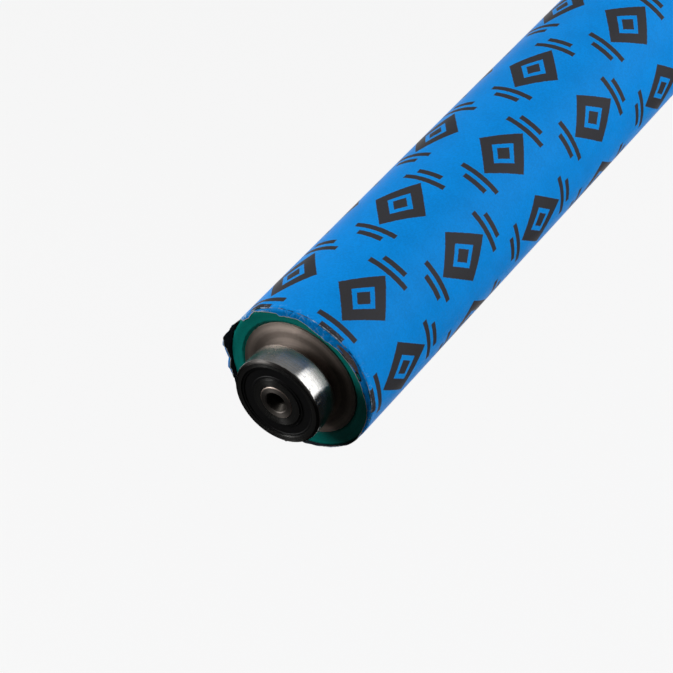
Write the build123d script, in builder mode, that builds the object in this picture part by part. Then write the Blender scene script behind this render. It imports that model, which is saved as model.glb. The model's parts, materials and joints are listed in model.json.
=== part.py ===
from build123d import *
import os

os.makedirs("parts", exist_ok=True)

# The roller lies along Y, with its middle at the origin. The front end is at -Y.

# Steel core, turned from one bar
core_length = 530.0
core_radius = 21.2
shoulder_radius = 8.6
shoulder_length = 3.7
journal_radius = 6.0
journal_edge = 0.25
journal_proud = 0.2
relief_width = 1.2
relief_depth = 0.2

# Centre hole in each end: protecting countersink, cone, clearance and tapping bore
guard_radius = 4.05
cone_radius = 3.35
clearance_radius = 2.15
clearance_depth = 6.5
tapping_radius = 1.65
tapping_depth = 14.0

# Rubber cover and the paper that is wrapped round it
cover_radius = 26.85
cover_round = 1.2
paper_thickness = 0.3
flap_radius = 23.0

# Ball bearing, 12 x 32 x 10 mm
bearing_radius = 16.0
bearing_width = 10.0
ring_corner = 1.0
bore_edge = 0.6
pitch_radius = 11.0
ball_radius = 2.95
ball_count = 7
race_radius = 3.1
race_gap = 0.04
outer_land_radius = 12.95
inner_land_radius = 9.1
inner_step_radius = 8.7
inner_step_width = 1.35

# Seal seats and seals
seat_depth = 1.25
seat_radius = 13.6
groove_width = 0.65
groove_radius = 14.1
seal_thickness = 0.85
seal_recess = 0.35
seal_gap = 0.1
seal_web = 0.3

# Ribbon cage, pressed as two halves and riveted
cage_sheet = 0.45
cage_inner_radius = 9.9
cage_outer_radius = 12.1
pocket_gap = 0.07
rivet_radius = 0.5
rivet_head_radius = 0.85
rivet_head_height = 0.35

half_core = core_length / 2
half_bearing = bearing_width / 2
bearing_y = half_core + shoulder_length + half_bearing
journal_end = bearing_y + half_bearing + journal_proud
ball_step = 360 / ball_count

with BuildPart() as core:
    with BuildSketch(Plane.YZ):
        with BuildLine():
            Polyline(
                (0, 0),
                (journal_end, 0),
                (journal_end, journal_radius),
                (half_core + shoulder_length, journal_radius),
                (half_core + shoulder_length, shoulder_radius),
                (half_core, shoulder_radius),
                (half_core, core_radius),
                (0, core_radius),
                close=True,
            )
        make_face()
    revolve(axis=Axis.Y)
    chamfer(core.edges().filter_by(GeomType.CIRCLE).group_by(Axis.Y)[-1], journal_edge)
    # Relief groove where the journal meets the shoulder
    with BuildSketch(Plane.YZ):
        with Locations((half_core + shoulder_length, journal_radius - relief_depth)):
            Rectangle(relief_width, relief_depth, align=(Align.MIN, Align.MIN))
    revolve(axis=Axis.Y, mode=Mode.SUBTRACT)
    with BuildSketch(Plane.YZ):
        with BuildLine():
            guard_depth = (guard_radius - cone_radius) * 0.577
            cone_depth = guard_depth + (cone_radius - clearance_radius) * 1.732
            tip_depth = tapping_depth + tapping_radius * 0.577
            Polyline(
                (journal_end, 0),
                (journal_end, guard_radius),
                (journal_end - guard_depth, cone_radius),
                (journal_end - cone_depth, clearance_radius),
                (journal_end - clearance_depth, clearance_radius),
                (journal_end - clearance_depth, tapping_radius),
                (journal_end - tapping_depth, tapping_radius),
                (journal_end - tip_depth, 0),
                close=True,
            )
        make_face()
    revolve(axis=Axis.Y, mode=Mode.SUBTRACT)
    mirror(about=Plane.XZ)
core.part.label = "core"
export_step(core.part, "parts/core.step")

with BuildPart() as rubber_cover:
    with BuildSketch(Plane.YZ) as cover_section:
        with Locations((0, core_radius)):
            Rectangle(core_length, cover_radius - core_radius, align=(Align.CENTER, Align.MIN))
        fillet(cover_section.vertices().group_by(Axis.Z)[-1], cover_round)
    revolve(axis=Axis.Y)
rubber_cover.part.label = "rubber_cover"
export_step(rubber_cover.part, "parts/rubber_cover.step")

with BuildPart() as paper_wrap:
    with BuildSketch(Plane.YZ):
        with BuildLine():
            cover_line = FilletPolyline(
                (-half_core, flap_radius),
                (-half_core, cover_radius),
                (half_core, cover_radius),
                (half_core, flap_radius),
                radius=cover_round,
            )
            offset(cover_line, amount=paper_thickness, side=Side.LEFT)
        make_face()
    revolve(axis=Axis.Y)
paper_wrap.part.label = "paper_wrap"
export_step(paper_wrap.part, "parts/paper_wrap.step")

for end, side in (("front", -1), ("rear", 1)):
    # In the section plane, x runs outwards along the shaft and y is the radius.
    centre = (0, side * bearing_y, 0)
    section = Plane(origin=centre, x_dir=(0, side, 0), z_dir=(1, 0, 0))
    across = Plane(origin=centre, x_dir=(1, 0, 0), z_dir=(0, side, 0))

    with BuildPart() as outer_ring:
        with BuildSketch(section):
            with Locations((0, outer_land_radius)):
                Rectangle(bearing_width, bearing_radius - outer_land_radius, align=(Align.CENTER, Align.MIN))
            with Locations((0, pitch_radius + ball_radius + race_gap - race_radius)):
                Circle(race_radius, mode=Mode.SUBTRACT)
            for hand in (-1, 1):
                edge = hand * half_bearing
                step = hand * (half_bearing - seat_depth)
                with Locations((edge - hand * seat_depth / 2, 0)):
                    Rectangle(seat_depth, 2 * seat_radius, mode=Mode.SUBTRACT)
                with Locations((step + hand * groove_width / 2, 0)):
                    Rectangle(groove_width, 2 * groove_radius, mode=Mode.SUBTRACT)
        revolve(axis=Axis.Y)
        fillet(outer_ring.edges().filter_by(GeomType.CIRCLE).sort_by(SortBy.RADIUS)[-2:], ring_corner)
    outer_ring.part.label = f"{end}_outer_ring"
    export_step(outer_ring.part, f"parts/{end}_outer_ring.step")

    with BuildPart() as inner_ring:
        with BuildSketch(section):
            with Locations((0, journal_radius)):
                Rectangle(bearing_width, inner_land_radius - journal_radius, align=(Align.CENTER, Align.MIN))
            with Locations((0, pitch_radius - ball_radius - race_gap + race_radius)):
                Circle(race_radius, mode=Mode.SUBTRACT)
            for hand in (-1, 1):
                with Locations((hand * (half_bearing - inner_step_width / 2), inner_step_radius)):
                    Rectangle(inner_step_width, 1, align=(Align.CENTER, Align.MIN), mode=Mode.SUBTRACT)
        revolve(axis=Axis.Y)
        chamfer(inner_ring.edges().filter_by(GeomType.CIRCLE).sort_by(SortBy.RADIUS)[:2], bore_edge)
    inner_ring.part.label = f"{end}_inner_ring"
    export_step(inner_ring.part, f"parts/{end}_inner_ring.step")

    for number in range(ball_count):
        with BuildPart(across) as ball:
            with PolarLocations(pitch_radius, 1, start_angle=90 + number * ball_step):
                Sphere(ball_radius)
        ball.part.label = f"{end}_ball_{number + 1}"
        export_step(ball.part, f"parts/{end}_ball_{number + 1}.step")

    for place, face in (("outboard", 1), ("inboard", -1)):
        half_plane = Plane(origin=centre, x_dir=(1, 0, 0), z_dir=(0, side * face, 0))
        first_ball = 90 * face
        pocket_radius = ball_radius + pocket_gap
        with BuildPart(half_plane) as cage_half:
            with PolarLocations(pitch_radius, ball_count, start_angle=first_ball):
                Sphere(pocket_radius + cage_sheet)
            with BuildSketch(half_plane):
                Circle(cage_outer_radius)
                Circle(cage_inner_radius, mode=Mode.SUBTRACT)
            extrude(amount=half_bearing, mode=Mode.INTERSECT)
            with BuildSketch(half_plane):
                Circle(cage_outer_radius)
                Circle(cage_inner_radius, mode=Mode.SUBTRACT)
            extrude(amount=cage_sheet)
            with PolarLocations(pitch_radius, ball_count, start_angle=first_ball):
                Sphere(pocket_radius, mode=Mode.SUBTRACT)
            with PolarLocations(pitch_radius, ball_count, start_angle=first_ball + ball_step / 2):
                Cylinder(rivet_radius, 2, mode=Mode.SUBTRACT)
        cage_half.part.label = f"{end}_cage_{place}"
        export_step(cage_half.part, f"parts/{end}_cage_{place}.step")

        with BuildPart() as seal:
            inner_edge = inner_step_radius + seal_gap
            outer_face = half_bearing - seal_recess
            inner_face = outer_face - seal_thickness
            bead_width = groove_width - 0.1
            seal_section = Plane(origin=centre, x_dir=(0, side * face, 0), z_dir=(1, 0, 0))
            with BuildSketch(seal_section):
                with Locations((inner_face, inner_edge)):
                    Rectangle(seal_thickness, seat_radius - inner_edge, align=(Align.MIN, Align.MIN))
                with Locations((inner_face, seat_radius)):
                    Rectangle(bead_width, groove_radius - seat_radius, align=(Align.MIN, Align.MIN))
                with Locations((outer_face, (inner_edge + seat_radius) / 2)):
                    SlotOverall(3.2, 2 * seal_web, rotation=90, mode=Mode.SUBTRACT)
            revolve(axis=Axis.Y)
        seal.part.label = f"{end}_seal_{place}"
        export_step(seal.part, f"parts/{end}_seal_{place}.step")

    with BuildPart(across) as cage_rivets:
        with PolarLocations(pitch_radius, ball_count, start_angle=90 + ball_step / 2):
            Cylinder(rivet_radius, 2 * cage_sheet)
        for face in (-1, 1):
            with Locations((0, 0, face * cage_sheet)):
                with PolarLocations(pitch_radius, ball_count, start_angle=90 + ball_step / 2):
                    Cone(
                        rivet_head_radius,
                        rivet_radius,
                        rivet_head_height,
                        rotation=(90 - 90 * face, 0, 0),
                        align=(Align.CENTER, Align.CENTER, Align.MIN),
                    )
    cage_rivets.part.label = f"{end}_cage_rivets"
    export_step(cage_rivets.part, f"parts/{end}_cage_rivets.step")
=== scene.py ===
import bpy
import json
import math
from mathutils import Matrix, Vector, noise


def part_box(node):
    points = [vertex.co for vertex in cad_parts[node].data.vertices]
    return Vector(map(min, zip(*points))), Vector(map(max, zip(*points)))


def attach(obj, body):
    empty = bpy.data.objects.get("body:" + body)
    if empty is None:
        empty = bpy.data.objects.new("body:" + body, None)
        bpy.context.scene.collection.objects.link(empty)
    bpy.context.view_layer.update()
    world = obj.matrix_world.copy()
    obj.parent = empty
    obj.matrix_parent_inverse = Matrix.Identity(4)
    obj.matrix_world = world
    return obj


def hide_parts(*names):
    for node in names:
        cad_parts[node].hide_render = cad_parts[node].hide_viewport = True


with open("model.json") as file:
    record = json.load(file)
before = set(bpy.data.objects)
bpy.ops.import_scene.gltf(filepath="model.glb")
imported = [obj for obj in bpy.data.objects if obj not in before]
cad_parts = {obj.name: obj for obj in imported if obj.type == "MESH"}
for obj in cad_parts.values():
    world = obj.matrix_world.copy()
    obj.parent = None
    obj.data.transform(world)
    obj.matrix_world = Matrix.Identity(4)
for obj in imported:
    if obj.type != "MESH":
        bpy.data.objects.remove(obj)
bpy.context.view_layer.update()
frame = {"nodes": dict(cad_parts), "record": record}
nodes = frame["nodes"]
mm = 0.001

# Places that the CAD frame gives
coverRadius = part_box("rubber_cover")[1].z
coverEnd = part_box("rubber_cover")[1].y
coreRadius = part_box("core")[1].z
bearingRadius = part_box("front_outer_ring")[1].z
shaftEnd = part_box("core")[1].y


# Short hands for building node trees

def feed(tree, socket, value):
    if isinstance(value, bpy.types.NodeSocket):
        tree.links.new(value, socket)
    elif value is not None:
        socket.default_value = value


def maths(tree, operation, *values, clamp=False):
    node = tree.nodes.new("ShaderNodeMath")
    node.operation = operation
    node.use_clamp = clamp
    for socket, value in zip(node.inputs, values):
        feed(tree, socket, value)
    return node.outputs[0]


def smoothStep(tree, value, low, high):
    node = tree.nodes.new("ShaderNodeMapRange")
    node.interpolation_type = "SMOOTHSTEP"
    for socket, given in zip(node.inputs, (value, low, high, 0.0, 1.0)):
        feed(tree, socket, given)
    return node.outputs[0]


def between(tree, value, low, high):
    node = tree.nodes.new("ShaderNodeMapRange")
    for socket, given in zip(node.inputs, (value, 0.0, 1.0, low, high)):
        feed(tree, socket, given)
    return node.outputs[0]


def mixColour(tree, factor, first, second):
    node = tree.nodes.new("ShaderNodeMix")
    node.data_type = "RGBA"
    feed(tree, node.inputs[0], factor)
    feed(tree, node.inputs[6], first)
    feed(tree, node.inputs[7], second)
    return node.outputs[2]


def noiseAt(tree, vector, scale, detail=2.0, roughness=0.5):
    node = tree.nodes.new("ShaderNodeTexNoise")
    feed(tree, node.inputs["Vector"], vector)
    node.inputs["Scale"].default_value = scale
    node.inputs["Detail"].default_value = detail
    node.inputs["Roughness"].default_value = roughness
    return node.outputs[0]


def split(tree, vector):
    node = tree.nodes.new("ShaderNodeSeparateXYZ")
    feed(tree, node.inputs[0], vector)
    return node.outputs


def join(tree, x=0.0, y=0.0, z=0.0):
    node = tree.nodes.new("ShaderNodeCombineXYZ")
    for socket, value in zip(node.inputs, (x, y, z)):
        feed(tree, socket, value)
    return node.outputs[0]


def newGroup(name, kind, inputs, outputs):
    tree = bpy.data.node_groups.new(name, kind)
    for label, socketType, value in inputs:
        socket = tree.interface.new_socket(label, in_out="INPUT", socket_type=socketType)
        if value is not None:
            socket.default_value = value
    for label, socketType in outputs:
        tree.interface.new_socket(label, in_out="OUTPUT", socket_type=socketType)
    return tree, tree.nodes.new("NodeGroupInput").outputs, tree.nodes.new("NodeGroupOutput").inputs


def place(tree, group, **values):
    node = tree.nodes.new("ShaderNodeGroup")
    node.node_tree = group
    for label, value in values.items():
        feed(tree, node.inputs[label.replace("_", " ")], value)
    return node.outputs


# Effects that several finishes share

floatSocket, vectorSocket = "NodeSocketFloat", "NodeSocketVector"


def latheMarksGroup():
    # Rings left by the tool: they vary with the radius and along the axis, and hardly round it
    tree, given, out = newGroup("latheMarks", "ShaderNodeTree", [
        ("Vector", vectorSocket, None),
        ("Ring Width", floatSocket, 0.0004),
        ("Unevenness", floatSocket, 0.3),
    ], [("Height", floatSocket), ("Streak", floatSocket)])
    x, y, z = split(tree, given["Vector"])
    radius = maths(tree, "SQRT", maths(tree, "ADD", maths(tree, "MULTIPLY", x, x), maths(tree, "MULTIPLY", z, z)))
    across = maths(tree, "DIVIDE", radius, given["Ring Width"])
    along = maths(tree, "DIVIDE", y, given["Ring Width"])
    drift = maths(tree, "MULTIPLY", noiseAt(tree, given["Vector"], 60.0), given["Unevenness"])
    rings = join(tree, maths(tree, "ADD", across, drift), along, 0.0)
    feed(tree, out["Height"], noiseAt(tree, rings, 1.0, detail=3.0, roughness=0.6))
    feed(tree, out["Streak"], noiseAt(tree, rings, 0.17, detail=2.0))
    return tree


def mottleGroup():
    # Soft clouds with a fine grain in them, about 0.5 in the middle
    tree, given, out = newGroup("mottle", "ShaderNodeTree", [
        ("Vector", vectorSocket, None),
        ("Size", floatSocket, 0.01),
        ("Grain", floatSocket, 0.4),
    ], [("Value", floatSocket), ("Fine", floatSocket)])
    node = tree.nodes.new("ShaderNodeVectorMath")
    node.operation = "SCALE"
    feed(tree, node.inputs[0], given["Vector"])
    feed(tree, node.inputs["Scale"], maths(tree, "DIVIDE", 1.0, given["Size"]))
    clouds = noiseAt(tree, node.outputs[0], 1.0, detail=3.0)
    fine = noiseAt(tree, node.outputs[0], 14.0, detail=4.0, roughness=0.7)
    mixed = tree.nodes.new("ShaderNodeMix")
    feed(tree, mixed.inputs[0], given["Grain"])
    feed(tree, mixed.inputs[2], clouds)
    feed(tree, mixed.inputs[3], fine)
    feed(tree, out["Value"], mixed.outputs[0])
    feed(tree, out["Fine"], fine)
    return tree


def radialBandGroup():
    # A band at one radius with frayed borders, for painted shade on corners and in the centre hole, darker ends, and
    # worn rims
    tree, given, out = newGroup("radialBand", "ShaderNodeTree", [
        ("Vector", vectorSocket, None),
        ("Radius", floatSocket, 0.01),
        ("Half Width", floatSocket, 0.0005),
        ("Fraying", floatSocket, 0.0001),
    ], [("Mask", floatSocket)])
    x, y, z = split(tree, given["Vector"])
    radius = maths(tree, "SQRT", maths(tree, "ADD", maths(tree, "MULTIPLY", x, x), maths(tree, "MULTIPLY", z, z)))
    away = maths(tree, "ABSOLUTE", maths(tree, "SUBTRACT", radius, given["Radius"]))
    shake = maths(tree, "MULTIPLY", maths(tree, "SUBTRACT", noiseAt(tree, given["Vector"], 700.0, detail=3.0), 0.5),
                  maths(tree, "MULTIPLY", given["Fraying"], 4.0))
    inside = maths(tree, "SUBTRACT", given["Half Width"], maths(tree, "ADD", away, shake))
    feed(tree, out["Mask"], smoothStep(tree, inside, maths(tree, "MULTIPLY", given["Fraying"], -0.5), given["Fraying"]))
    return tree


latheMarks = latheMarksGroup()
mottle = mottleGroup()
radialBand = radialBandGroup()


def newMaterial(name, **settings):
    material = bpy.data.materials.new(name)
    material.use_nodes = True
    tree = material.node_tree
    shader = tree.nodes["Principled BSDF"]
    for label, value in settings.items():
        shader.inputs[label.replace("_", " ")].default_value = value
    return material, tree, shader.inputs


def objectCoordinates(tree):
    return tree.nodes.new("ShaderNodeTexCoord").outputs["Object"]


def bumpFrom(tree, height, distance, strength=1.0, under=None):
    node = tree.nodes.new("ShaderNodeBump")
    node.inputs["Distance"].default_value = distance
    node.inputs["Strength"].default_value = strength
    feed(tree, node.inputs["Height"], height)
    feed(tree, node.inputs["Normal"], under)
    return node.outputs[0]


def attribute(tree, name):
    node = tree.nodes.new("ShaderNodeAttribute")
    node.attribute_name = name
    return node.outputs["Fac"]


def roundTheAxis(tree):
    # Brushing runs round Y on everything that was turned
    node = tree.nodes.new("ShaderNodeTangent")
    node.direction_type = "RADIAL"
    node.axis = "Y"
    return node.outputs[0]


# Finishes

turnedSteel = {
    "bright": (0.60, 0.505, 0.445, 1), "dull": (0.37, 0.305, 0.265, 1), "roughness": (0.50, 0.60),
    "anisotropy": 0.55, "ringWidth": 0.00045, "ringDepth": 0.000004,
    # The last two colours are painted: a darker shaft end, and near black painted shade for the centre hole
    "darkerShaftEnd": (0.16, 0.15, 0.14, 1), "paintedShade": (0.035, 0.032, 0.028, 1),
}


def turnedSteelFinish():
    material, tree, shader = newMaterial("turned_steel", Metallic=1.0, Anisotropic=turnedSteel["anisotropy"],
                                         Anisotropic_Rotation=0.25)
    where = objectCoordinates(tree)
    marks = place(tree, latheMarks, Vector=where, Ring_Width=turnedSteel["ringWidth"], Unevenness=0.4)
    clouds = place(tree, mottle, Vector=where, Size=0.02, Grain=0.35)
    tone = maths(tree, "ADD", maths(tree, "MULTIPLY", marks["Streak"], 0.6),
                 maths(tree, "MULTIPLY", clouds["Value"], 0.4))
    colour = mixColour(tree, smoothStep(tree, tone, 0.36, 0.64), turnedSteel["dull"], turnedSteel["bright"])
    # The shaft's end is painted darker, and its centre hole is painted near black, as painted shade in the recess
    darkerShaftEnd = place(tree, radialBand, Vector=where, Radius=0.0, Half_Width=5.7 * mm, Fraying=0.05 * mm)["Mask"]
    holeShade = place(tree, radialBand, Vector=where, Radius=1.9 * mm, Half_Width=1.9 * mm, Fraying=0.2 * mm)["Mask"]
    colour = mixColour(tree, maths(tree, "MULTIPLY", darkerShaftEnd, 0.85), colour, turnedSteel["darkerShaftEnd"])
    feed(tree, shader["Base Color"], mixColour(tree, maths(tree, "MULTIPLY", holeShade, 0.9), colour,
                                               turnedSteel["paintedShade"]))
    feed(tree, shader["Roughness"], between(tree, marks["Streak"], *turnedSteel["roughness"]))
    feed(tree, shader["Normal"], bumpFrom(tree, marks["Height"], turnedSteel["ringDepth"]))
    feed(tree, shader["Tangent"], roundTheAxis(tree))
    return material


groundSteel = {
    "bright": (0.60, 0.59, 0.57, 1), "dull": (0.42, 0.415, 0.405, 1), "roughness": (0.16, 0.23),
    # The corner colour is painted shade for the outer ring's rounded corners
    "anisotropy": 0.90, "lineWidth": 0.00016, "lineDepth": 0.0000012, "corner": (0.085, 0.080, 0.076, 1),
}


def groundSteelFinish():
    material, tree, shader = newMaterial("bearing_steel", Metallic=1.0, Anisotropic=groundSteel["anisotropy"],
                                         Anisotropic_Rotation=0.25)
    where = objectCoordinates(tree)
    marks = place(tree, latheMarks, Vector=where, Ring_Width=groundSteel["lineWidth"], Unevenness=0.15)
    clouds = place(tree, mottle, Vector=where, Size=0.008, Grain=0.5)
    tone = maths(tree, "ADD", maths(tree, "MULTIPLY", marks["Streak"], 0.5),
                 maths(tree, "MULTIPLY", clouds["Value"], 0.5))
    ground = mixColour(tree, smoothStep(tree, tone, 0.36, 0.64), groundSteel["dull"], groundSteel["bright"])
    # The outer ring's rounded corners are painted near black and made rougher, as painted shade that hides their
    # reflection
    corner = place(tree, radialBand, Vector=where, Radius=bearingRadius - 0.5 * mm, Half_Width=0.46 * mm,
                   Fraying=0.05 * mm)["Mask"]
    feed(tree, shader["Base Color"], mixColour(tree, corner, ground, groundSteel["corner"]))
    feed(tree, shader["Roughness"], maths(tree, "ADD", between(tree, clouds["Value"], *groundSteel["roughness"]),
                                          maths(tree, "MULTIPLY", corner, 0.28)))
    feed(tree, shader["Normal"], bumpFrom(tree, marks["Height"], groundSteel["lineDepth"]))
    feed(tree, shader["Tangent"], roundTheAxis(tree))
    return material


def polishedBallFinish():
    material, tree, shader = newMaterial("ball_steel", Metallic=1.0)
    clouds = place(tree, mottle, Vector=objectCoordinates(tree), Size=0.004, Grain=0.5)
    feed(tree, shader["Base Color"], mixColour(tree, clouds["Value"], (0.68, 0.68, 0.69, 1), (0.78, 0.78, 0.79, 1)))
    feed(tree, shader["Roughness"], between(tree, clouds["Fine"], 0.04, 0.12))
    return material


def pressedSheetFinish():
    material, tree, shader = newMaterial("cage_steel", Metallic=1.0)
    clouds = place(tree, mottle, Vector=objectCoordinates(tree), Size=0.003, Grain=0.5)
    feed(tree, shader["Base Color"], mixColour(tree, clouds["Value"], (0.42, 0.40, 0.37, 1), (0.58, 0.56, 0.52, 1)))
    feed(tree, shader["Roughness"], between(tree, clouds["Fine"], 0.28, 0.45))
    feed(tree, shader["Normal"], bumpFrom(tree, clouds["Fine"], 0.000008))
    return material


sealRubber = {"dark": (0.004, 0.004, 0.0043, 1), "pale": (0.010, 0.010, 0.0105, 1), "roughness": (0.38, 0.55)}


def sealRubberFinish():
    material, tree, shader = newMaterial("seal_rubber", Specular_IOR_Level=0.22)
    where = objectCoordinates(tree)
    clouds = place(tree, mottle, Vector=where, Size=0.004, Grain=0.5)
    marks = place(tree, latheMarks, Vector=where, Ring_Width=0.0006, Unevenness=0.1)
    feed(tree, shader["Base Color"], mixColour(tree, clouds["Value"], sealRubber["dark"], sealRubber["pale"]))
    feed(tree, shader["Roughness"], between(tree, clouds["Fine"], *sealRubber["roughness"]))
    feed(tree, shader["Normal"], bumpFrom(tree, marks["Height"], 0.000006,
                                          under=bumpFrom(tree, clouds["Fine"], 0.00001)))
    return material


tealRubber = {
    "deep": (0.0, 0.155, 0.132, 1), "pale": (0.002, 0.240, 0.205, 1), "roughness": (0.50, 0.66),
    "grindWidth": 0.0007, "grindDepth": 0.00002,
}


def tealRubberFinish():
    material, tree, shader = newMaterial("teal_rubber", Specular_IOR_Level=0.08)
    where = objectCoordinates(tree)
    clouds = place(tree, mottle, Vector=where, Size=0.012, Grain=0.45)
    marks = place(tree, latheMarks, Vector=where, Ring_Width=tealRubber["grindWidth"], Unevenness=0.6)
    tone = maths(tree, "ADD", maths(tree, "MULTIPLY", clouds["Value"], 0.6),
                 maths(tree, "MULTIPLY", marks["Streak"], 0.4))
    feed(tree, shader["Base Color"], mixColour(tree, smoothStep(tree, tone, 0.35, 0.65),
                                               tealRubber["deep"], tealRubber["pale"]))
    feed(tree, shader["Roughness"], between(tree, clouds["Fine"], *tealRubber["roughness"]))
    feed(tree, shader["Normal"], bumpFrom(tree, marks["Height"], tealRubber["grindDepth"],
                                          under=bumpFrom(tree, clouds["Fine"], 0.00002)))
    return material


# The generic print: hollow lozenges and pairs of bars on a lattice, each column half a step from the last
wrapPrint = {
    "cellLength": 0.0445, "rows": 6, "lozenge": (0.0125, 0.0096), "stroke": 0.0020, "heart": 0.30,
    "bars": ((0.0152, 0.0011, 0.0078), (0.0190, 0.0011, 0.0046)), "wobble": 0.0004, "soft": 0.00014,
}


def wrapPrintGroup(cellWidth):
    tree, given, out = newGroup("wrapPrint", "ShaderNodeTree", [
        ("Vector", vectorSocket, None),
        ("Cell Length", floatSocket, wrapPrint["cellLength"]),
        ("Cell Width", floatSocket, cellWidth),
        ("Wobble", floatSocket, wrapPrint["wobble"]),
        ("Softness", floatSocket, wrapPrint["soft"]),
    ], [("Ink", floatSocket)])
    u, v, spare = split(tree, given["Vector"])
    shake = maths(tree, "MULTIPLY", maths(tree, "SUBTRACT", noiseAt(tree, given["Vector"], 900.0, detail=3.0), 0.5),
                  given["Wobble"])
    column = maths(tree, "DIVIDE", u, given["Cell Length"])
    step = maths(tree, "FLOORED_MODULO", maths(tree, "FLOOR", column), 2.0)
    row = maths(tree, "ADD", maths(tree, "DIVIDE", v, given["Cell Width"]), maths(tree, "MULTIPLY", step, 0.5))
    along = maths(tree, "ABSOLUTE", maths(tree, "MULTIPLY", maths(
        tree, "SUBTRACT", maths(tree, "FRACT", column), 0.5), given["Cell Length"]))
    round_ = maths(tree, "ABSOLUTE", maths(tree, "MULTIPLY", maths(
        tree, "SUBTRACT", maths(tree, "FRACT", row), 0.5), given["Cell Width"]))
    halfLong, halfWide = wrapPrint["lozenge"]
    # Distance from the lozenge's middle line, in metres across the stroke
    lozenge = maths(tree, "ADD", maths(tree, "DIVIDE", along, halfLong), maths(tree, "DIVIDE", round_, halfWide))
    stroke = maths(tree, "MULTIPLY", maths(tree, "ABSOLUTE", maths(tree, "SUBTRACT", lozenge, 0.78)), halfWide * 0.79)
    ring = maths(tree, "SUBTRACT", wrapPrint["stroke"], stroke)
    heart = maths(tree, "MULTIPLY", maths(tree, "SUBTRACT", wrapPrint["heart"], lozenge), halfWide * 0.79)
    inside = maths(tree, "MAXIMUM", ring, heart)
    for barPlace, barHalf, barLong in wrapPrint["bars"]:
        across = maths(tree, "SUBTRACT", barHalf, maths(
            tree, "ABSOLUTE", maths(tree, "SUBTRACT", along, barPlace)))
        inside = maths(tree, "MAXIMUM", inside, maths(
            tree, "MINIMUM", across, maths(tree, "SUBTRACT", barLong, round_)))
    feed(tree, out["Ink"], smoothStep(tree, maths(tree, "ADD", inside, shake),
                                      maths(tree, "MULTIPLY", given["Softness"], -1.0), given["Softness"]))
    return tree


wrappingPaper = {
    "thickness": 0.12 * mm, "gap": 0.02 * mm, "seamStart": -145.0, "turnDegrees": 385.0, "columns": 640,
    "endRows": 20, "bagginess": 0.10 * mm, "ripple": 0.32 * mm,
    "hemRadius": 0.22 * mm, "hemAngle": 130.0,
    "blue": (0.0003, 0.285, 0.84, 1), "deepBlue": (0.0002, 0.236, 0.70, 1), "ink": (0.042, 0.034, 0.024, 1),
    # The pale worn colour also stands for a painted highlight along the fold; the two near black colours are painted
    # shade in creases, round holes and on the sheet's inner side
    "wearAndHighlight": (0.40, 0.56, 0.74, 1), "paintedShade": (0.012, 0.016, 0.022, 1), "smear": (0.115, 0.090, 0.088, 1),
    "shadedLining": (0.012, 0.016, 0.022, 1), "core": (0.50, 0.50, 0.47, 1),
    "roughness": (0.36, 0.50),
}
sheetRadius = coverRadius + wrappingPaper["gap"] + wrappingPaper["thickness"]
coverRound = 1.2 * mm  # the rounding of the rubber's edges
foldRadius = coverRound + wrappingPaper["gap"] + wrappingPaper["thickness"]
foldStart = coverEnd - coverRound
printCell = 2 * math.pi * sheetRadius / wrapPrint["rows"]
printTree = wrapPrintGroup(printCell)


def sheetCoordinates(tree):
    node = tree.nodes.new("ShaderNodeUVMap")
    node.uv_map = "sheet"
    return node.outputs[0]


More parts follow.
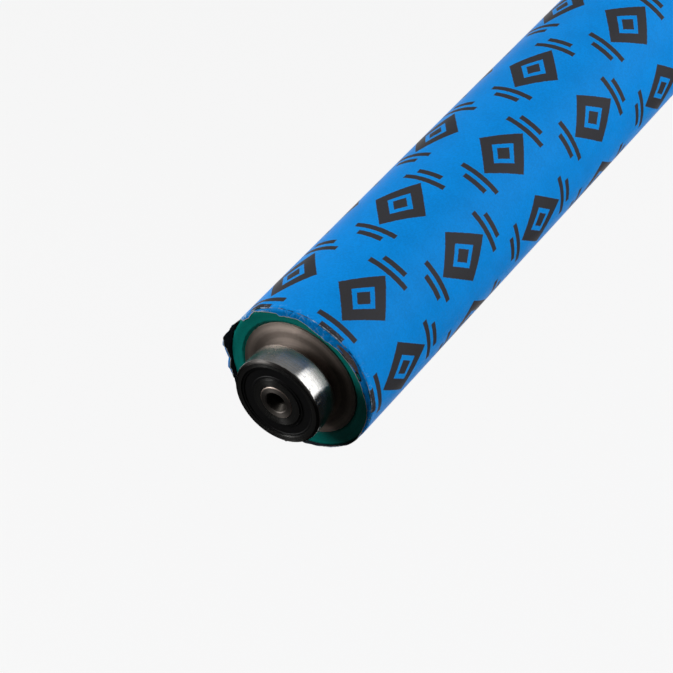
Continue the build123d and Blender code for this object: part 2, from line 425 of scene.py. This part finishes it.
def printedPaperFinish():
    look = wrappingPaper
    material, tree, shader = newMaterial("wrapping_paper", Specular_IOR_Level=0.03, Sheen_Weight=0.25,
                                         Sheen_Roughness=0.20, Sheen_Tint=(0.75, 0.72, 0.80, 1))
    flat = sheetCoordinates(tree)
    u, v, spare = split(tree, flat)
    clouds = place(tree, mottle, Vector=objectCoordinates(tree), Size=0.010, Grain=0.7)
    paper = mixColour(tree, smoothStep(tree, clouds["Value"], 0.36, 0.64), look["deepBlue"], look["blue"])
    ink = place(tree, printTree, Vector=flat)["Ink"]
    cover = maths(tree, "MULTIPLY", ink, between(tree, clouds["Fine"], 0.94, 1.0))
    printed = mixColour(tree, cover, paper, look["ink"])
    # The fold gets a painted line: pale stretches are partly colour worn off the crease and partly a painted highlight,
    # dark stretches a painted shadow in it; the white core shows where the sheet is torn
    breaks = noiseAt(tree, flat, 420.0, detail=4.0, roughness=0.7)
    bent = join(tree, maths(tree, "ADD", u, maths(tree, "MULTIPLY", breaks, 0.0022)),
                maths(tree, "ADD", v, maths(tree, "MULTIPLY", breaks, -0.0018)), 0.0)
    side, past = maths(tree, "SIGN", u), maths(tree, "SUBTRACT", maths(tree, "ABSOLUTE", u), foldStart)
    crease = maths(tree, "SUBTRACT", 1.0, smoothStep(tree, maths(
        tree, "ABSOLUTE", maths(tree, "SUBTRACT", past, foldRadius * 0.55)), 0.00006, 0.00026))
    stretches = smoothStep(tree, noiseAt(tree, join(tree, side, v, 0.0), 75.0, detail=2.0), 0.43, 0.57)
    paintedFoldLine = maths(tree, "MULTIPLY", crease, between(tree, smoothStep(tree, breaks, 0.40, 0.58), 0.10, 1.0))
    creased = mixColour(tree, paintedFoldLine, printed, mixColour(tree, stretches, look["paintedShade"], look["wearAndHighlight"]))
    # Patches where ink is smeared and where the crumpled sheet has lost its colour
    smeared = mixColour(tree, smoothStep(tree, maths(tree, "ADD", maths(tree, "MULTIPLY", breaks, 0.8), attribute(
        tree, "smear")), 0.62, 0.82), creased, look["smear"])
    fibres = noiseAt(tree, flat, 1100.0, detail=5.0, roughness=0.75)
    bare = smoothStep(tree, maths(tree, "ADD", maths(tree, "MULTIPLY", fibres, 1.6), maths(
        tree, "MULTIPLY", attribute(tree, "bare"), 0.5)), 1.12, 1.35)
    # Painted shadow: near black round the holes and where the sheet stands off the cover
    paintedShadows = smoothStep(tree, maths(tree, "ADD", maths(tree, "MULTIPLY", breaks, 0.5), attribute(tree, "dark")),
                       0.62, 0.74)
    # Near the folds the sheet is crinkled, and the colour has broken along the sharpest lines
    cells = tree.nodes.new("ShaderNodeTexVoronoi")
    cells.feature = "DISTANCE_TO_EDGE"
    feed(tree, cells.inputs["Vector"], bent)
    cells.inputs["Scale"].default_value = 420.0
    nearFold = smoothStep(tree, past, -0.0022, 0.0006)
    lines = maths(tree, "SUBTRACT", 1.0, smoothStep(tree, cells.outputs["Distance"], 0.0, 0.055))
    crinkled = maths(tree, "MULTIPLY", maths(tree, "MULTIPLY", lines, nearFold),
                     smoothStep(tree, breaks, 0.46, 0.66))
    shown = mixColour(tree, bare, mixColour(tree, paintedShadows, smeared, look["paintedShade"]), look["wearAndHighlight"])
    shown = mixColour(tree, maths(tree, "MULTIPLY", crinkled, 0.5), shown, look["wearAndHighlight"])
    rough = maths(tree, "SUBTRACT", attribute(tree, "edgeGap"), maths(tree, "MULTIPLY", breaks, 0.00042))
    torn = maths(tree, "SUBTRACT", 1.0, smoothStep(tree, rough, -0.00006, 0.00008))
    feed(tree, shader["Base Color"], mixColour(tree, torn, shown, look["core"]))
    feed(tree, shader["Roughness"], between(tree, clouds["Fine"], *look["roughness"]))
    dents = maths(tree, "MULTIPLY", smoothStep(tree, cells.outputs["Distance"], 0.0, 0.35), nearFold)
    feed(tree, shader["Normal"], bumpFrom(tree, dents, 0.00018, strength=0.8,
                                          under=bumpFrom(tree, clouds["Fine"], 0.00004, strength=0.5)))
    return material


def shadedLiningFinish():
    material, tree, shader = newMaterial("paper_lining", Specular_IOR_Level=0.15)
    clouds = place(tree, mottle, Vector=objectCoordinates(tree), Size=0.006, Grain=0.6)
    # The inner side is coloured near black, as painted shade where it shows inside the loose flap
    pale = tuple(2.2 * part for part in wrappingPaper["shadedLining"][:3]) + (1,)
    # The print shows through faintly
    shade = maths(tree, "SUBTRACT", clouds["Value"], maths(tree, "MULTIPLY", place(
        tree, printTree, Vector=sheetCoordinates(tree))["Ink"], 0.3), clamp=True)
    feed(tree, shader["Base Color"], mixColour(tree, shade, wrappingPaper["shadedLining"], pale))
    feed(tree, shader["Roughness"], between(tree, clouds["Fine"], 0.6, 0.8))
    return material


def tornEdgeFinish():
    material, tree, shader = newMaterial("torn_edge", Specular_IOR_Level=0.2)
    flat = sheetCoordinates(tree)
    fibres = noiseAt(tree, flat, 700.0, detail=4.0)
    u, v, spare = split(tree, flat)
    feed(tree, shader["Base Color"], mixColour(tree, smoothStep(tree, fibres, 0.4, 0.6),
                                               (0.10, 0.20, 0.32, 1), wrappingPaper["core"]))
    feed(tree, shader["Roughness"], between(tree, fibres, 0.6, 0.85))
    return material


# The wrapping paper: a flat cut sheet that Geometry Nodes roll round the cover and fold at the ends

# Round the front end: place in degrees from +X towards +Z, free length past the start of the fold in mm,
# and the fold's angle in degrees, inwards over the end or, below zero, standing outwards
frontEdge = [
    (-180, 3.7, -42), (-172, 2.9, -50), (-165, 3.6, -32), (-155, 2.2, -30), (-140, 2.9, -20), (-128, 1.9, -12),
    (-112, 2.6, -28), (-99, 3.8, -40), (-94, 2.0, -12), (-80, 1.7, -4), (-60, 2.1, -4), (-42, 1.7, -3),
    (-34, 1.9, 2), (-30, 1.5, 30), (-27, 1.6, 85), (-8, 2.2, 90), (13, 3.2, 90), (30, 3.5, 90), (41, 3.9, 90),
    (52, 3.9, 90), (59, 4.4, 90), (64, 5.0, 90), (77, 4.3, 90), (90, 3.1, 90), (98, 3.3, 90), (108, 3.7, 90),
    (110, 2.8, 90), (122, 2.1, 90), (131, 1.3, 90), (139, 2.2, 90), (146, 2.0, 84), (148.5, 0.7, 30),
    (151, 0.8, -10), (157, 2.2, -30), (163, 2.0, -46), (169, 3.5, -40), (176, 4.3, -46), (180, 3.7, -42),
]
# Slits and holes in the front flap: middle angle, middle past the fold's start in mm, half sizes of each
frontTears = [(27.5, 2.7, 2.6, 0.45), (8.0, 0.95, 11.0, 0.14), (127.0, 0.8, 4.0, 0.16)]
# Places where the sheet stands off the cover: angle, distance from the fold in mm, half sizes, height in mm
crumples = [(127.0, 1.0, 7.0, 2.6, 0.55), (42.0, 1.5, 9.0, 3.0, 0.30), (-3.0, 2.0, 8.0, 4.0, 0.35)]
# Patches by angle, place past the fold's start in mm and half sizes: smeared ink, painted shadow round holes and lifted
# paper, and bare paper
smears = [(42.0, 2.2, 14.0, 1.1)]
shadowPatches = [(27.5, 2.7, 5.5, 1.0), (46.0, 3.5, 7.0, 0.5), (11.0, 3.2, 3.0, 0.6), (-14.0, 2.6, 3.0, 0.7)]
barePatches = [(125.0, 1.7, 14.0, 0.5), (143.0, 0.9, 9.0, 1.4)]
# Where the torn edge is curled back in: middle angle, half width in degrees, how much of it in mm
hems = [(-173.0, 17.0, 1.35), (-122.0, 9.0, 0.8), (-62.0, 14.0, 0.6)]


def angleFrom(angle, middle):
    return (angle - middle + 180.0) % 360.0 - 180.0


def patchAt(patches, angle, past):
    # 1 in the middle of a patch, falling to nothing outside it
    return max(math.exp(-((angleFrom(angle, middle) / wide) ** 2 + ((past / mm - at) / long) ** 2) * 1.2)
               for middle, at, wide, long in patches)


def hemAt(angle):
    # Length of the curled margin, in metres
    return max(length * mm * max(0.0, 1.0 - (angleFrom(angle, middle) / half) ** 2) ** 0.5
               for middle, half, length in hems)


def turnBetween(points, angle):
    angle = (angle + 180.0) % 360.0 - 180.0
    for (a, *first), (b, *second) in zip(points, points[1:]):
        if a <= angle <= b:
            share = (angle - a) / (b - a)
            return [p + (q - p) * share for p, q in zip(first, second)]


def edgeAt(end, angle, distance):
    # Free length and fold angle of the sheet's torn end at this place round the roller
    rag = noise.noise(Vector((distance / (0.9 * mm), end * 7.0, 0.5))) * 0.16
    rag += noise.noise(Vector((distance / (3.5 * mm), end * 3.0, 2.5))) * 0.22
    if end < 0:
        free, fold = turnBetween(frontEdge, angle)
        free = free + rag * min(1.0, free / 2.5)
    else:
        free, fold = 3.4 + 1.1 * noise.noise(Vector((distance / (14 * mm), 4.0, 0.0))) + rag, 90.0
    return max(free, 0.45) * mm, math.radians(fold)


def standOff(along, angle):
    # How far crumples lift the sheet here, in metres
    height = 0.0
    for middle, back, wide, long, rise in crumples:
        across = angleFrom(angle, middle) / wide
        away = (along + foldStart - back * mm) / (long * mm)
        height += rise * mm * math.exp(-(across * across + away * away) * 1.6)
    return height


def isTorn(angle, past):
    return any((angleFrom(angle, middle) / wide) ** 2 + ((past / mm - at) / long) ** 2 < 1.0
               for middle, at, wide, long in frontTears)


def flatSheet():
    # Columns run round the roller and rows along it. Rows in the two end bands share out the free length.
    look = wrappingPaper
    rows = [(0.0, -1, 1.0 - n / look["endRows"]) for n in range(look["endRows"])]
    rows += [(side * share, 0, 0.0) for side, share in bodyShares()]
    rows += [(0.0, 1, (n + 1) / look["endRows"]) for n in range(look["endRows"])]
    points, values = [], {"foldAngle": [], "lift": [], "edgeGap": [], "hem": [], "smear": [], "bare": [],
                      "dark": []}
    fullTurn = 2 * math.pi * sheetRadius
    for column in range(look["columns"] + 1):
        degrees = look["turnDegrees"] * column / look["columns"]
        distance = fullTurn * degrees / 360.0
        angle = look["seamStart"] + degrees
        overlap = min(max((degrees - 335.0) / 25.0, 0.0), 1.0)
        lift = (look["thickness"] + look["gap"]) * overlap * overlap * (3 - 2 * overlap)
        edges = {end: edgeAt(end, angle, distance) for end in (-1, 1)}
        for share, end, part in rows:
            if end == 0:
                along, fold = share * foldStart, 0.0
                gap = foldStart - abs(along) + edges[-1 if along < 0 else 1][0]
            else:
                free, fold = edges[end]
                along, gap = end * (foldStart + free * part), free * (1.0 - part)
            points.append((along, distance, 0.0))
            front = along < 0
            past = abs(along) - foldStart
            values["foldAngle"].append(fold)
            values["lift"].append(lift + standOff(along, angle))
            values["edgeGap"].append(gap)
            values["hem"].append(max(0.0, hemAt(angle) - gap) if front else 0.0)
            values["smear"].append(patchAt(smears, angle, past) if front else 0.0)
            values["bare"].append(patchAt(barePatches, angle, past) if front else 0.0)
            values["dark"].append(patchAt(shadowPatches, angle, past) if front else 0.0)
    count = len(rows)
    faces = []
    for column in range(look["columns"]):
        angle = look["seamStart"] + look["turnDegrees"] * (column + 0.5) / look["columns"]
        for row in range(count - 1):
            a = column * count + row
            middle = (points[a][0] + points[a + 1][0]) / 2
            if middle > -foldStart or not isTorn(angle, -middle - foldStart):
                faces.append((a, a + 1, a + count + 1, a + count))
    mesh = bpy.data.meshes.new("flat_sheet")
    mesh.from_pydata(points, [], faces)
    for name, numbers in values.items():
        mesh.attributes.new(name, "FLOAT", "POINT").data.foreach_set("value", numbers)
    uv = mesh.uv_layers.new(name="sheet")
    for loop in mesh.loops:
        uv.data[loop.index].uv = points[loop.vertex_index][:2]
    mesh.update()
    return mesh


def bodyShares():
    # Rows between the folds, as shares of half the length: close beside the folds and wide in the middle
    shares = [1.0 - 0.0045 * n * (1 + 0.35 * n) for n in range(12)] + [0.6, 0.4, 0.2]
    return [(-1, share) for share in shares] + [(1, 0.0)] + [(1, share) for share in reversed(shares)]


def rollAndFoldTree():
    tree, given, out = newGroup("rollAndFold", "GeometryNodeTree", [
        ("Geometry", "NodeSocketGeometry", None),
        ("Radius", floatSocket, 0.027),
        ("Fold Start", floatSocket, 0.26),
        ("Fold Radius", floatSocket, 0.0013),
        ("First Angle", floatSocket, 0.0),
        ("Bagginess", floatSocket, 0.0001),
        ("Ripple", floatSocket, 0.0002),
        ("Hem Radius", floatSocket, 0.0002),
        ("Hem Angle", floatSocket, 2.0),
        ("Material", "NodeSocketMaterial", None),
    ], [("Geometry", "NodeSocketGeometry")])
    tree.is_modifier = True

    def named(label):
        node = tree.nodes.new("GeometryNodeInputNamedAttribute")
        node.data_type = "FLOAT"
        node.inputs["Name"].default_value = label
        return node.outputs["Attribute"]

    spot = tree.nodes.new("GeometryNodeInputPosition").outputs[0]
    u, v, spare = split(tree, spot)
    fold, lift = named("foldAngle"), named("lift")
    turn = maths(tree, "ADD", maths(tree, "DIVIDE", v, given["Radius"]), given["First Angle"])
    side = maths(tree, "SIGN", u)
    reach = maths(tree, "ABSOLUTE", u)
    past = maths(tree, "MAXIMUM", maths(tree, "SUBTRACT", reach, given["Fold Start"]), 0.0)
    bendRadius = maths(tree, "ADD", given["Fold Radius"], lift)
    bend = maths(tree, "MINIMUM", maths(tree, "DIVIDE", past, bendRadius), maths(tree, "ABSOLUTE", fold))
    rest = maths(tree, "SUBTRACT", past, maths(tree, "MULTIPLY", bend, bendRadius))
    sine, cosine = maths(tree, "SINE", bend), maths(tree, "COSINE", bend)
    # The last of it curls in again
    hem = named("hem")
    curl = maths(tree, "MINIMUM", maths(tree, "DIVIDE", hem, given["Hem Radius"]), given["Hem Angle"])
    tail = maths(tree, "SUBTRACT", hem, maths(tree, "MULTIPLY", curl, given["Hem Radius"]))
    onward = maths(tree, "ADD", maths(tree, "SUBTRACT", rest, hem), maths(
        tree, "ADD", maths(tree, "MULTIPLY", given["Hem Radius"], maths(tree, "SINE", curl)),
        maths(tree, "MULTIPLY", tail, maths(tree, "COSINE", curl))))
    inward = maths(tree, "ADD", maths(tree, "MULTIPLY", tail, maths(tree, "SINE", curl)), maths(
        tree, "MULTIPLY", given["Hem Radius"], maths(tree, "SUBTRACT", 1.0, maths(tree, "COSINE", curl))))
    way = maths(tree, "SIGN", fold)
    drop = maths(tree, "ADD", maths(tree, "MULTIPLY", inward, cosine), maths(tree, "MULTIPLY", way, maths(
        tree, "ADD", maths(tree, "MULTIPLY", bendRadius, maths(tree, "SUBTRACT", 1.0, cosine)),
        maths(tree, "MULTIPLY", onward, sine))))
    waves = noiseAt(tree, spot, 28.0, detail=2.0)
    slack = maths(tree, "MULTIPLY", maths(tree, "MAXIMUM", maths(tree, "SUBTRACT", waves, 0.45), 0.0),
                  given["Bagginess"])
    radius = maths(tree, "SUBTRACT", maths(tree, "ADD", maths(tree, "ADD", given["Radius"], lift), slack), drop)
    out1 = maths(tree, "SUBTRACT", maths(tree, "ADD", maths(tree, "MULTIPLY", bendRadius, sine), maths(
        tree, "MULTIPLY", onward, cosine)), maths(tree, "MULTIPLY", way, maths(tree, "MULTIPLY", inward, sine)))
    # A flap that is folded in has more paper than room, so it stands off the end in pleats
    pleat = noiseAt(tree, join(tree, 0.0, v, side), 330.0, detail=2.0)
    pleatSize = maths(tree, "MULTIPLY", maths(tree, "MAXIMUM", maths(tree, "SUBTRACT", pleat, 0.42), 0.0),
                      maths(tree, "MULTIPLY", given["Ripple"], maths(tree, "DIVIDE", rest, 0.0012)))
    reachOut = maths(tree, "ADD", maths(tree, "MINIMUM", reach, given["Fold Start"]),
                     maths(tree, "ADD", out1, pleatSize))
    rolled = join(tree, maths(tree, "MULTIPLY", radius, maths(tree, "COSINE", turn)),
                  maths(tree, "MULTIPLY", side, reachOut),
                  maths(tree, "MULTIPLY", radius, maths(tree, "SINE", turn)))
    setPlace = tree.nodes.new("GeometryNodeSetPosition")
    feed(tree, setPlace.inputs["Geometry"], given["Geometry"])
    feed(tree, setPlace.inputs["Position"], rolled)
    realize = tree.nodes.new("GeometryNodeRealizeInstances")
    feed(tree, realize.inputs[0], setPlace.outputs[0])
    paint = tree.nodes.new("GeometryNodeSetMaterial")
    feed(tree, paint.inputs["Geometry"], realize.outputs[0])
    feed(tree, paint.inputs["Material"], given["Material"])
    feed(tree, out["Geometry"], paint.outputs[0])
    return tree


def setInput(modifier, label, value):
    for item in modifier.node_group.interface.items_tree:
        if item.item_type == "SOCKET" and item.in_out == "INPUT" and item.name == label:
            modifier[item.identifier] = value
            return
    raise KeyError(label)


def plainMesh(piece, name):
    # The evaluated shape as a mesh of its own
    bpy.context.view_layer.update()
    evaluated = piece.evaluated_get(bpy.context.evaluated_depsgraph_get())
    mesh = bpy.data.meshes.new_from_object(evaluated)
    mesh.name = name
    return mesh


def addObject(name, mesh):
    piece = bpy.data.objects.new(name, mesh)
    bpy.context.scene.collection.objects.link(piece)
    return piece


def makeWrappingPaper(printed, shadedLining, torn):
    look = wrappingPaper
    piece = addObject("wrapping_paper_sheet", flatSheet())
    roll = piece.modifiers.new("rollAndFold", "NODES")
    roll.node_group = rollAndFoldTree()
    setInput(roll, "Radius", sheetRadius)
    setInput(roll, "Fold Start", foldStart)
    setInput(roll, "Fold Radius", foldRadius)
    setInput(roll, "First Angle", math.radians(look["seamStart"]))
    setInput(roll, "Bagginess", look["bagginess"])
    setInput(roll, "Ripple", look["ripple"])
    setInput(roll, "Hem Radius", look["hemRadius"])
    setInput(roll, "Hem Angle", math.radians(look["hemAngle"]))
    setInput(roll, "Material", printed)
    rolled = plainMesh(piece, "rolled_sheet")
    piece.modifiers.remove(roll)
    piece.data = rolled
    rolled.materials.clear()
    for material in (printed, shadedLining, torn):
        rolled.materials.append(material)
    wall = piece.modifiers.new("thickness", "SOLIDIFY")
    wall.thickness = look["thickness"]
    wall.offset = -1.0
    wall.use_quality_normals = True
    wall.material_offset = 1
    wall.material_offset_rim = 2
    finished = plainMesh(piece, "wrapping_paper_sheet")
    piece.modifiers.remove(wall)
    piece.data = finished
    finished.shade_smooth()
    finished.set_sharp_from_angle(angle=math.radians(50))
    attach(piece, "roller")
    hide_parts("paper_wrap")
    return piece


print("finishes")
finishes = {
    "turned_steel": turnedSteelFinish(),
    "bearing_steel": groundSteelFinish(),
    "ball_steel": polishedBallFinish(),
    "cage_steel": pressedSheetFinish(),
    "seal_rubber": sealRubberFinish(),
    "teal_rubber": tealRubberFinish(),
}
for part in frame["record"]["subparts"]:
    if part["material_slot"] in finishes:
        mesh = nodes[part["node"]].data
        mesh.materials.clear()
        mesh.materials.append(finishes[part["material_slot"]])
        mesh.set_sharp_from_angle(angle=math.radians(35))

print("wrapping paper")
makeWrappingPaper(printedPaperFinish(), shadedLiningFinish(), tornEdgeFinish())


# Studio: a pale floor well below the roller, soft boxes, and a dark card for the metal to mirror

studio = {
    "background": 0.93, "floorGlow": 0.955, "floorShade": 0.15, "floorDrop": 0.32, "floorSize": 14.0,
    "frontLight": 0.02, "backLight": 0.95,
}


def seenByEye(tree):
    # Camera, glossy and transmission rays all meet the same background
    path = tree.nodes.new("ShaderNodeLightPath").outputs
    return maths(tree, "MAXIMUM", path["Is Camera Ray"],
                 maths(tree, "MAXIMUM", path["Is Glossy Ray"], path["Is Transmission Ray"]))


def makeFloor():
    half = studio["floorSize"] / 2
    mesh = bpy.data.meshes.new("floor")
    mesh.from_pydata([(-half, -half, 0), (half, -half, 0), (half, half, 0), (-half, half, 0)], [], [(0, 1, 2, 3)])
    mesh.transform(Matrix.Translation((0, 0, -studio["floorDrop"])))
    floor = addObject("floor", mesh)
    material = bpy.data.materials.new("pale_floor")
    material.use_nodes = True
    tree = material.node_tree
    tree.nodes.clear()
    shade = tree.nodes.new("ShaderNodeBsdfDiffuse")
    # In front of the end face the floor throws back little light, as a dark cloth there would
    x, y, z = split(tree, objectCoordinates(tree))
    bounce = join(tree, *[between(tree, smoothStep(tree, y, -0.55, 0.05), 0.05, 0.9)] * 3)
    isDiffuse = tree.nodes.new("ShaderNodeLightPath").outputs["Is Diffuse Ray"]
    feed(tree, shade.inputs["Color"], mixColour(tree, isDiffuse, (0.9, 0.9, 0.9, 1), bounce))
    glow = tree.nodes.new("ShaderNodeEmission")
    glow.inputs["Color"].default_value = (studio["floorGlow"],) * 3 + (1,)
    mix = tree.nodes.new("ShaderNodeMixShader")
    feed(tree, mix.inputs[0], maths(tree, "MULTIPLY", seenByEye(tree), 1.0 - studio["floorShade"]))
    feed(tree, mix.inputs[1], shade.outputs[0])
    feed(tree, mix.inputs[2], glow.outputs[0])
    feed(tree, tree.nodes.new("ShaderNodeOutputMaterial").inputs[0], mix.outputs[0])
    mesh.materials.append(material)


def makeWorld():
    world = bpy.data.worlds.new("studio")
    bpy.context.scene.world = world
    world.use_nodes = True
    tree = world.node_tree
    tree.nodes.clear()
    soft = tree.nodes.new("ShaderNodeBackground")
    soft.inputs["Color"].default_value = (1, 1, 1, 1)
    # The room is bright behind the roller and dim in front of its end
    x, y, z = split(tree, tree.nodes.new("ShaderNodeTexCoord").outputs["Generated"])
    feed(tree, soft.inputs["Strength"], between(tree, smoothStep(tree, y, -0.35, 0.30),
                                                studio["frontLight"], studio["backLight"]))
    seen = tree.nodes.new("ShaderNodeBackground")
    seen.inputs["Color"].default_value = (studio["background"],) * 3 + (1,)
    mix = tree.nodes.new("ShaderNodeMixShader")
    feed(tree, mix.inputs[0], seenByEye(tree))
    feed(tree, mix.inputs[1], soft.outputs[0])
    feed(tree, mix.inputs[2], seen.outputs[0])
    feed(tree, tree.nodes.new("ShaderNodeOutputWorld").inputs[0], mix.outputs[0])


def aim(thing, spot, target):
    thing.location = spot
    thing.rotation_mode = "QUATERNION"
    thing.rotation_quaternion = (Vector(target) - Vector(spot)).to_track_quat("-Z", "Y")


softBoxes = {
    # name: direction from the front bearing, distance, width, height, radiance
    "key_box": ((-0.78, -0.52, 0.35), 1.1, 0.42, 0.42, 14.0),
    "low_box": ((-0.92, -0.40, 0.05), 1.1, 0.50, 0.30, 3.0),
    "rim_box": ((0.655, 0.617, 0.436), 0.9, 0.90, 0.70, 2.0),
}


def makeSoftBoxes():
    target = Vector((0, -shaftEnd, 0))
    for name, (direction, distance, width, height, radiance) in softBoxes.items():
        lamp = bpy.data.lights.new(name, "AREA")
        lamp.shape = "RECTANGLE"
        lamp.size, lamp.size_y = width, height
        lamp.energy = radiance * math.pi * width * height
        box = bpy.data.objects.new(name, lamp)
        bpy.context.scene.collection.objects.link(box)
        aim(box, target + Vector(direction).normalized() * distance, target)
        box.visible_camera = False
        box.visible_diffuse = name != "low_box"


cards = {
    # name: lowest corner, highest corner, how bright it is to what mirrors it
    "low_card": ((-1.20, -1.40, -0.25), (0.90, -0.12, -0.25), 0.012),
    "side_card": ((0.05, -0.12, -0.25), (0.90, 0.45, -0.25), 0.012),
    "front_card": ((-1.20, -1.40, -0.25), (0.90, -1.40, 1.25), 0.012),
    "face_card": ((-0.95, -1.38, -0.25), (-0.25, -1.38, 0.10), 0.35),
    "right_card": ((0.90, -1.40, -0.25), (0.90, 0.90, 0.07), 0.015),
    "corner_card": ((0.90, -1.40, 0.07), (0.90, -0.30, 1.25), 0.012),
    "left_card": ((-1.20, -0.35, -0.25), (-1.20, 2.20, 1.25), 0.20),
    "dark_card": ((-1.20, -1.40, -0.25), (-1.20, -0.35, 1.25), 0.05),
    "top_card": ((-1.20, -0.50, 1.25), (0.60, 2.20, 1.25), 0.30),
    "lid_card": ((-1.20, -1.40, 1.25), (0.90, -0.50, 1.25), 0.04),
}


def makeCards():
    for name, (low, high, glow) in cards.items():
        flat = [index for index in range(3) if low[index] == high[index]][0]
        one, two = [index for index in range(3) if index != flat]
        corners = []
        for a, b in ((low, low), (high, low), (high, high), (low, high)):
            corner = list(low)
            corner[one], corner[two] = a[one], b[two]
            corners.append(corner)
        mesh = bpy.data.meshes.new(name)
        mesh.from_pydata(corners, [], [(0, 1, 2, 3)])
        card = addObject(name, mesh)
        material = bpy.data.materials.new(name)
        material.use_nodes = True
        tree = material.node_tree
        tree.nodes.clear()
        shine = tree.nodes.new("ShaderNodeEmission")
        shine.inputs["Color"].default_value = (glow, glow, glow, 1)
        feed(tree, tree.nodes.new("ShaderNodeOutputMaterial").inputs[0], shine.outputs[0])
        mesh.materials.append(material)
        card.visible_camera = False
        card.visible_diffuse = False
        card.visible_shadow = False


# The camera as fitted to the photograph: place in metres, azimuth and elevation in degrees, lens in mm
photoView = {"place": (0.3751, -0.8323, 0.6190), "azimuth": 32.48, "elevation": 41.48, "lens": 153.11}


def makeCamera():
    turn, rise = math.radians(photoView["azimuth"]), math.radians(photoView["elevation"])
    back = Vector((math.sin(turn) * math.cos(rise), -math.cos(turn) * math.cos(rise), math.sin(rise)))
    camera = bpy.data.objects.new("camera", bpy.data.cameras.new("camera"))
    bpy.context.scene.collection.objects.link(camera)
    camera.data.sensor_width = 36.0
    camera.data.lens = photoView["lens"]
    camera.data.clip_start, camera.data.clip_end = 0.01, 50.0
    place = Vector(photoView["place"])
    aim(camera, place, place - back)
    bpy.context.scene.camera = camera


print("studio")
makeFloor()
makeWorld()
makeSoftBoxes()
makeCards()
makeCamera()
bpy.context.scene.view_settings.view_transform = "Standard"
